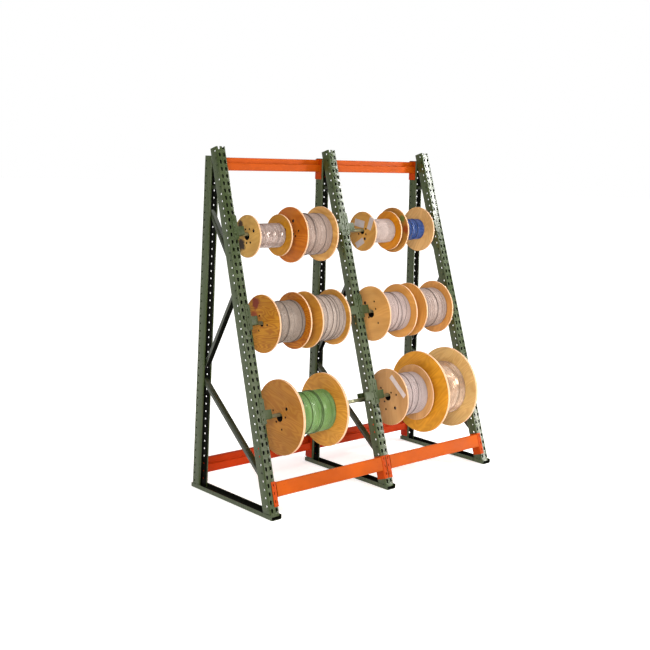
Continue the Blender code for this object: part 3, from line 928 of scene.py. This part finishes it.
def hang_cradle(sizes, looks, level, number):
    """Plate over the post's slots, cup across the bay's side and the cheek between them."""
    name = f"cradle_{level}_{number}"
    low, high = slope_box(name)
    x, into = inner_side(BAYS[(number - 1) // 2], (number - 1) % 2, sizes.post)
    gap, wall = sizes.clearance, sizes.cradle_wall
    start = gap + wall
    foot = min((OFF_SLOPE @ co).z for co in points(name) if abs(co.x - x) > sizes.post / 2)
    move = SLOPE @ Matrix.Translation((x, 0, foot))

    width = sizes.post / 2 - CRADLE_INSET + start
    plate = high.z - low.z
    first = (FIRST_FRONT_SLOT - low.z) % sizes.pitch
    rows = [first + sizes.pitch * row for row in range(3)]
    windows = [((sizes.column - CRADLE_INSET, row), *CRADLE_HOOK) for row in rows
               if row + CRADLE_HOOK[1] < plate]
    bm = roll_form([(width, 0)], False, plate, 1, windows)
    shift(bm, (start - width, -start, low.z - foot))
    mirror(bm, into)
    add_rack_piece(bm, name + "_plate", looks, name, wall, move)

    arm = abs((high.x if into > 0 else low.x) - x)
    deep = sizes.cup_depth + wall + start
    bend = sizes.channel_bend
    bm = roll_form(((deep / 2 - bend, bend), (sizes.cup_height - bend, 0)), True, arm - start)
    side = Matrix.Translation((start if into > 0 else -arm, deep / 2 - start, 0)) @ ACROSS_X
    add_rack_piece(bm, name + "_cup", looks, name, wall, move @ side)

    bm = bmesh.new()
    near, far = sorted((into * gap, into * start))
    box_between(bm, (near, -gap - wall / 2, CHEEK_FOOT),
                (far, sizes.cup_depth + wall, sizes.cup_height), CHEEK_EASED)
    add_rack_piece(bm, name + "_cheek", looks, name, move=move)


class SPOOLRACK_OT_cradles(bpy.types.Operator):
    """Fold the open-topped cups that the rods lie in, and weld them to their hooked plates"""
    bl_idname = "spoolrack.cradles"
    bl_label = "Rod cradles"

    def execute(self, context):
        looks = painted(context, "Green")
        for level in LEVELS:
            for number in range(1, 2 * len(BAYS) + 1):
                hang_cradle(context.scene.rack_sizes, looks, level, number)
        return {"FINISHED"}


class SPOOLRACK_OT_rods(bpy.types.Operator):
    """Cut and chamfer the six steel rods"""
    bl_idname = "spoolrack.rods"
    bl_label = "Rods"

    def execute(self, context):
        look = make_look("Drawn steel", rod_steel, context.scene.rack_colours.steel)
        for level in LEVELS:
            for bay in BAYS:
                name = f"rod_{level}_{bay}"
                low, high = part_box(name)
                half = (high - low) / 2
                bm = bmesh.new()
                drum(bm, half.z, -half.x, half.x, ROD_SIDES, Matrix.Translation((low + high) / 2) @ ALONG_X,
                     ROD_CHAMFER)
                add_piece(bm, f"{bay}_{level}_bar", name, [look], [name])
        return {"FINISHED"}


# ---- spools
DISC_SIDES = 96
ARBOR_SIDES = 40
DRIVE_SIDES = 20
BOLT_SIDES = 16
BOLT_PLAY = 0.0001  # between a tie bolt and its hole
BOLT_EASED = 0.0008
LABEL_THICK, LABEL_GAP = 0.0003, 0.0001


def flange_disc(low, high, sizes, openings):
    """Round plywood disc with drilled holes and eased edges, between two boxes' corners.

    Its looks are the veneer, the sawn edge and, in the holes, near-black painted shade on their walls.
    """
    bm = bmesh.new()
    middle, radius, edge = (low + high) / 2, (high.z - low.z) / 2, sizes.edge
    bmesh.ops.create_circle(bm, segments=DISC_SIDES, radius=radius - edge)
    for spot, size, sides in openings:
        bmesh.ops.create_circle(bm, segments=sides, radius=size, matrix=Matrix.Translation((*spot, 0)))
    bmesh.ops.triangle_fill(bm, use_beauty=True, edges=bm.edges[:], normal=(0, 0, 1))
    top = bm.faces[:]
    for rise, grown in ((edge, radius), (high.x - low.x - 2 * edge, radius), (edge, radius - edge)):
        top, verts = sweep(bm, top, (0, 0, rise))
        rim = [vert for vert in verts if vert.co.xy.length > radius - 2 * edge]
        share = grown / rim[0].co.xy.length
        bmesh.ops.scale(bm, vec=(share, share, 1), verts=rim)
    lay(bm, Matrix.Translation((low.x, middle.y, middle.z)) @ ACROSS_X)
    bmesh.ops.recalc_face_normals(bm, faces=bm.faces)
    for face in bm.faces:
        away = (face.calc_center_median() - middle).yz.length
        flat = abs(face.normal.x) > 0.9
        # the walls of the holes take the third look, near-black painted shade
        face.material_index = 0 if flat else 1 if away > radius - 2 * edge else 2
    return bm


class SPOOLRACK_OT_flanges(bpy.types.Operator):
    """Saw and drill the plywood flanges, and set the ends of their tie bolts in them"""
    bl_idname = "spoolrack.flanges"
    bl_label = "Spool flanges"

    def execute(self, context):
        sizes = context.scene.spool_sizes
        edge_look = make_look("Plywood edge", plywood_edge, context.scene.rack_colours.edge)
        for spool in SPOOLS:
            facts = spool_facts(spool)
            *tones, grain, figure, depth = VENEERS[spool]
            tied, drive = HOLES[spool]
            face = facts.left[0].x
            blots = {"right": (), "left": [(on_flange(facts, face, where), radius, hue)
                                            for where, radius, hue in FLANGE_BLOTS.get(spool, ())]}
            openings = [((0, 0), facts.arbor, ARBOR_SIDES)]
            openings += [(from_polar(*where), sizes.bolt, BOLT_SIDES) for where in tied]
            if drive:
                openings.append((from_polar(*drive), sizes.drive, DRIVE_SIDES))
            bolts = bmesh.new()
            for hand, tone in zip(BAYS, tones):
                low, high = getattr(facts, hand)
                face_look = make_look(f"{spool} {hand} veneer", plywood_face, tone, facts.middle,
                                      radians(grain), figure, depth, blots[hand])
                add_piece(flange_disc(low, high, sizes, openings), f"{spool}_{hand}_disc", spool,
                          [face_look, edge_look, bolt_steel_and_hole_shade()], [f"{spool}_flange_{hand}"],
                          recalculate=False)
                for where in tied:
                    drum(bolts, sizes.bolt - BOLT_PLAY, low.x + sizes.sunk, high.x - sizes.sunk,
                         BOLT_SIDES, Matrix.Translation(on_flange(facts, 0, where)) @ ALONG_X, BOLT_EASED)
            add_piece(bolts, spool + "_bolts", spool, [bolt_steel_and_hole_shade()])
        return {"FINISHED"}


class SPOOLRACK_OT_labels(bpy.types.Operator):
    """Glue blank paper labels on the flanges that carry them"""
    bl_idname = "spoolrack.labels"
    bl_label = "Blank labels"

    def execute(self, context):
        for spool, (clean, *labels) in LABELS.items():
            tone = shade(context.scene.rack_colours.paper, clean)
            look = make_look(f"{spool} label paper", paper, tone)
            facts = spool_facts(spool)
            x = facts.left[0].x - LABEL_GAP - LABEL_THICK / 2
            for number, (where, wide, high, turn) in enumerate(labels, 1):
                bm = bmesh.new()
                half = Vector((LABEL_THICK / 2, wide / 2000, high / 2000))
                box_between(bm, -half, half)
                turn = Matrix.Rotation(radians(turn), 4, "X")
                lay(bm, Matrix.Translation(on_flange(facts, x, where)) @ turn)
                add_piece(bm, f"{spool}_label_{number}", spool, [look])
        return {"FINISHED"}


# a winding's measures, in thicknesses of its wire
GAPS = (0.02, 0.02, 0.03, 0.03, 0.04, 0.05, 0.05, 0.50)  # between two turns
END_ROOM = 0.55  # from a flange to the middle of the turn beside it
LAST_TURN = 1.6  # room that one more turn needs
UNEVEN = 0.06
TUCKED = 2.2  # how far the wire's ends go down
SUNK = 0.35  # the barrel's face below the middle of the layer
# painted shadow: share of the jacket's tone for the loose turns and for the barrel between the turns
LOOSE_TURN_PAINTED_SHADOW = 0.42
SEED = 7


def wound_route(start, stop, middle, base, wire, loose, stray, steps, rng):
    """Points of one wire wound from flange to flange, and of its loose turns back over itself."""
    across, heights = [start + wire * END_ROOM], [base]
    while across[-1] + wire * LAST_TURN < stop:
        gap = rng.choice(GAPS) * wire
        across.append(min(across[-1] + wire + gap, stop - wire * END_ROOM))
        heights.append(base - rng.uniform(0.0, UNEVEN) * wire)
    across.append(across[-1])
    heights.append(heights[-1])
    layer = len(across) - 1
    reach = (stop - start) / (loose + 1)
    for turn in range(loose):
        spot = stop - reach * (turn + 1) + rng.uniform(-stray, stray) * reach
        across.append(min(max(spot, start + wire), stop - wire))
        heights.append(base + wire)
    phase = rng.uniform(0, 2 * pi)

    def at(x, turn, away):
        return Vector((x, middle.y + away * cos(turn + phase), middle.z + away * sin(turn + phase)))

    tucked = base - TUCKED * wire
    route = [at(across[0], 0, tucked)]
    for turn in range(len(across) - 1):
        for step in range(steps):
            share = step / steps
            ease = share * share * (3 - 2 * share)
            x = across[turn] + (across[turn + 1] - across[turn]) * ease
            away = heights[turn] + (heights[turn + 1] - heights[turn]) * ease
            route.append(at(x, 2 * pi * share, away))
    route += [at(across[-1], 0, heights[-1]), at(across[-1], 0, tucked)]
    split = layer * steps + 1
    return (route[:split + 1], route[split:]) if loose else (route,)


def wire_tube(bm, route, wire, look):
    """Sweep a round wire along a route and add it to a bmesh, with its look by number."""
    curve = bpy.data.curves.new("wire", "CURVE")
    curve.dimensions = "3D"
    curve.bevel_depth = wire / 2
    curve.bevel_resolution = 2
    curve.use_fill_caps = True
    line = curve.splines.new("POLY")
    line.points.add(len(route) - 1)
    for point, spot in zip(line.points, route):
        point.co = (*spot, 1)
    made = link("wire", curve)
    mesh = settled(made)
    for face in mesh.polygons:
        face.material_index = look
    bm.from_mesh(mesh)
    bpy.data.objects.remove(made)
    bpy.data.curves.remove(curve)
    bpy.data.meshes.remove(mesh)


def barrel(bm, start, stop, middle, bore, outer):
    """Hollow drum under the wire."""
    profile = [bm.verts.new((x, middle.y, middle.z + away)) for x, away in (
        (start, bore), (stop, bore), (stop, outer), (start, outer))]
    edges = [bm.edges.new(pair) for pair in zip(profile, profile[1:] + profile[:1])]
    bmesh.ops.spin(bm, geom=profile + edges, cent=middle, axis=(1, 0, 0), angle=2 * pi,
                   steps=DISC_SIDES, use_merge=True)
    bmesh.ops.remove_doubles(bm, verts=bm.verts, dist=1e-6)
    bmesh.ops.recalc_face_normals(bm, faces=bm.faces)


class SPOOLRACK_OT_windings(bpy.types.Operator):
    """Wind each spool with one long wire, turn by turn"""
    bl_idname = "spoolrack.windings"
    bl_label = "Wire windings"

    def execute(self, context):
        steps = context.scene.spool_sizes.turn_steps
        slots = {item["node"]: item["material_slot"] for item in frame["record"]["subparts"]}
        for number, spool in enumerate(SPOOLS):
            facts = spool_facts(spool)
            (low, high), middle, bore = facts.reel, facts.middle, facts.barrel
            name = spool + "_winding"
            wire, *finish = WIRES[slots[name]]
            tone, loose, stray = JACKETS[spool]
            # the second look is the jacket darkened as painted shadow
            looks = [make_look(f"{spool} {part}", wire_jacket, shade(tone, share), *finish)
                     for part, share in (("jacket", 1), ("loose turns", LOOSE_TURN_PAINTED_SHADOW))] + [bolt_steel_and_hole_shade()]
            base = facts.wound - wire * (1.5 if loose else 0.5)
            bm = bmesh.new()
            barrel(bm, low.x, high.x, middle, bore, base - SUNK * wire)
            # painted shade: the barrel's face between the turns takes the darkened jacket look and its bore
            # near-black steel
            for face in bm.faces:
                bored = (face.calc_center_median() - middle).yz.length < bore + wire
                face.material_index = 2 if bored else 1
            routes = wound_route(low.x, high.x, middle, base, wire, loose, stray, steps,
                                 Random(number + SEED))
            for look, route in enumerate(routes):
                wire_tube(bm, route, wire, look)
            add_piece(bm, spool + "_wire", spool, looks, [name], recalculate=False)
        return {"FINISHED"}


# ---- stage
CAMERA_SPOT = (-5.3925, -5.6720, 2.3371)
CAMERA_YAW, CAMERA_PITCH, CAMERA_ROLL = radians(42.89), radians(2.02), radians(1.93)
CAMERA_LENS = 59.27
CAMERA_SHIFT = (-0.0385, -0.3257)

# area light: place, aim, size, power and colour
LIGHTS = {
    "Key": ((3.6, -1.9, 3.5), (1.0, 0, 1.9), 0.8, 126, (1.0, 0.99, 0.97)),
    "Fill": ((-5.8, -4.6, 3.2), (0, 0, 1.1), 2.0, 285, (1.0, 0.93, 0.84)),
    "Front": ((2.5, -6.0, 2.6), (0, 0, 0.8), 2.5, 85, (1.0, 0.96, 0.88)),
    "Low": ((5.6, -4.3, 1.1), (0.6, -0.3, 0.5), 1.2, 150, (1.0, 0.97, 0.92)),
}
OVERHEAD_POWER = 1.6
ROOM_POWER = 0.32
FLOOR_RADIUS = 60


def lamp(name, kind, power, turn, **settings):
    light = bpy.data.lights.new(name, kind)
    light.energy = power
    for key, value in settings.items():
        setattr(light, key, value)
    made = link(name, light)
    made.rotation_euler = turn
    return made


def area_light(name, spot, aim, size, power, tone):
    turn = (Vector(aim) - Vector(spot)).to_track_quat("-Z", "Y").to_euler()
    lamp(name, "AREA", power, turn, shape="DISK", size=size, color=tone).location = spot


def white_room():
    """World that looks plain white and lights the room softly and a little warmly."""
    world = bpy.data.worlds.new("Studio")
    world.use_nodes = True
    tree = world.node_tree
    lit = tree.nodes["Background"]
    feed(tree, lit, {"Color": (1.0, 0.97, 0.93, 1), "Strength": ROOM_POWER})
    seen = node(tree, "Background", {"Color": (1, 1, 1, 1), "Strength": 1.0})
    both = node(tree, "MixShader", {0: node(tree, "LightPath"), 1: lit.outputs[0], 2: seen})
    tree.links.new(both, tree.nodes["World Output"].inputs["Surface"])
    return world


def camera():
    """Camera at its spot, turned by yaw, pitch and roll."""
    yaw, pitch, roll = CAMERA_YAW, CAMERA_PITCH, CAMERA_ROLL
    ahead = Vector((sin(yaw) * cos(pitch), cos(yaw) * cos(pitch), sin(pitch)))
    level = Vector((cos(yaw), -sin(yaw), 0))
    above = level.cross(ahead)
    right = cos(roll) * level + sin(roll) * above
    up = -sin(roll) * level + cos(roll) * above
    view = bpy.data.cameras.new("Camera")
    view.sensor_width = 36
    view.lens = CAMERA_LENS
    view.shift_x, view.shift_y = CAMERA_SHIFT
    view.clip_end = 200
    made = link("Camera", view)
    turn = Matrix((right, up, -ahead)).transposed().to_4x4()
    made.matrix_world = Matrix.Translation(CAMERA_SPOT) @ turn
    return made


class SPOOLRACK_OT_stage(bpy.types.Operator):
    """Lay a pale floor and set soft lights and the camera"""
    bl_idname = "spoolrack.stage"
    bl_label = "Studio"

    def execute(self, context):
        scene = context.scene
        bm = bmesh.new()
        bmesh.ops.create_circle(bm, cap_ends=True, segments=64, radius=FLOOR_RADIUS)
        look = make_look("Studio floor", studio_floor, scene.rack_colours.floor)
        link("studio_floor", finished_mesh(bm, "studio_floor", [look]))

        scene.world = white_room()
        for name, light in LIGHTS.items():
            area_light(name, *light)
        # a broad soft light from above and a little in front
        lamp("Overhead", "SUN", OVERHEAD_POWER, (radians(18), radians(8), 0), angle=radians(70))
        scene.camera = camera()
        scene.view_settings.view_transform = "Standard"
        return {"FINISHED"}


# ---- add-on
PIECES = (
    SPOOLRACK_OT_posts, SPOOLRACK_OT_rails, SPOOLRACK_OT_braces, SPOOLRACK_OT_beams,
    SPOOLRACK_OT_cradles, SPOOLRACK_OT_rods, SPOOLRACK_OT_flanges, SPOOLRACK_OT_labels,
    SPOOLRACK_OT_windings, SPOOLRACK_OT_stage)


class SPOOLRACK_PT_sidebar(bpy.types.Panel):
    """Buttons and sizes for the spool rack"""
    bl_idname = "SPOOLRACK_PT_sidebar"
    bl_label = "Spool rack"
    bl_space_type = "VIEW_3D"
    bl_region_type = "UI"
    bl_category = "Spool Rack"

    def draw(self, context):
        scene = context.scene
        for piece in PIECES:
            self.layout.operator(piece.bl_idname)
        for group in (scene.rack_sizes, scene.spool_sizes, scene.rack_colours):
            box = self.layout.box()
            for key in group.__annotations__:
                box.prop(group, key)


CLASSES = (RackSizes, SpoolSizes, RackColours, *PIECES, SPOOLRACK_PT_sidebar)


def register():
    for item in CLASSES:
        bpy.utils.register_class(item)
    bpy.types.Scene.rack_sizes = PointerProperty(type=RackSizes)
    bpy.types.Scene.spool_sizes = PointerProperty(type=SpoolSizes)
    bpy.types.Scene.rack_colours = PointerProperty(type=RackColours)


def unregister():
    del bpy.types.Scene.rack_colours
    del bpy.types.Scene.spool_sizes
    del bpy.types.Scene.rack_sizes
    for item in reversed(CLASSES):
        bpy.utils.unregister_class(item)


def main():
    register()
    for piece in PIECES:
        group, name = piece.bl_idname.split(".")
        getattr(getattr(bpy.ops, group), name)()


if __name__ == "__main__":
    main()
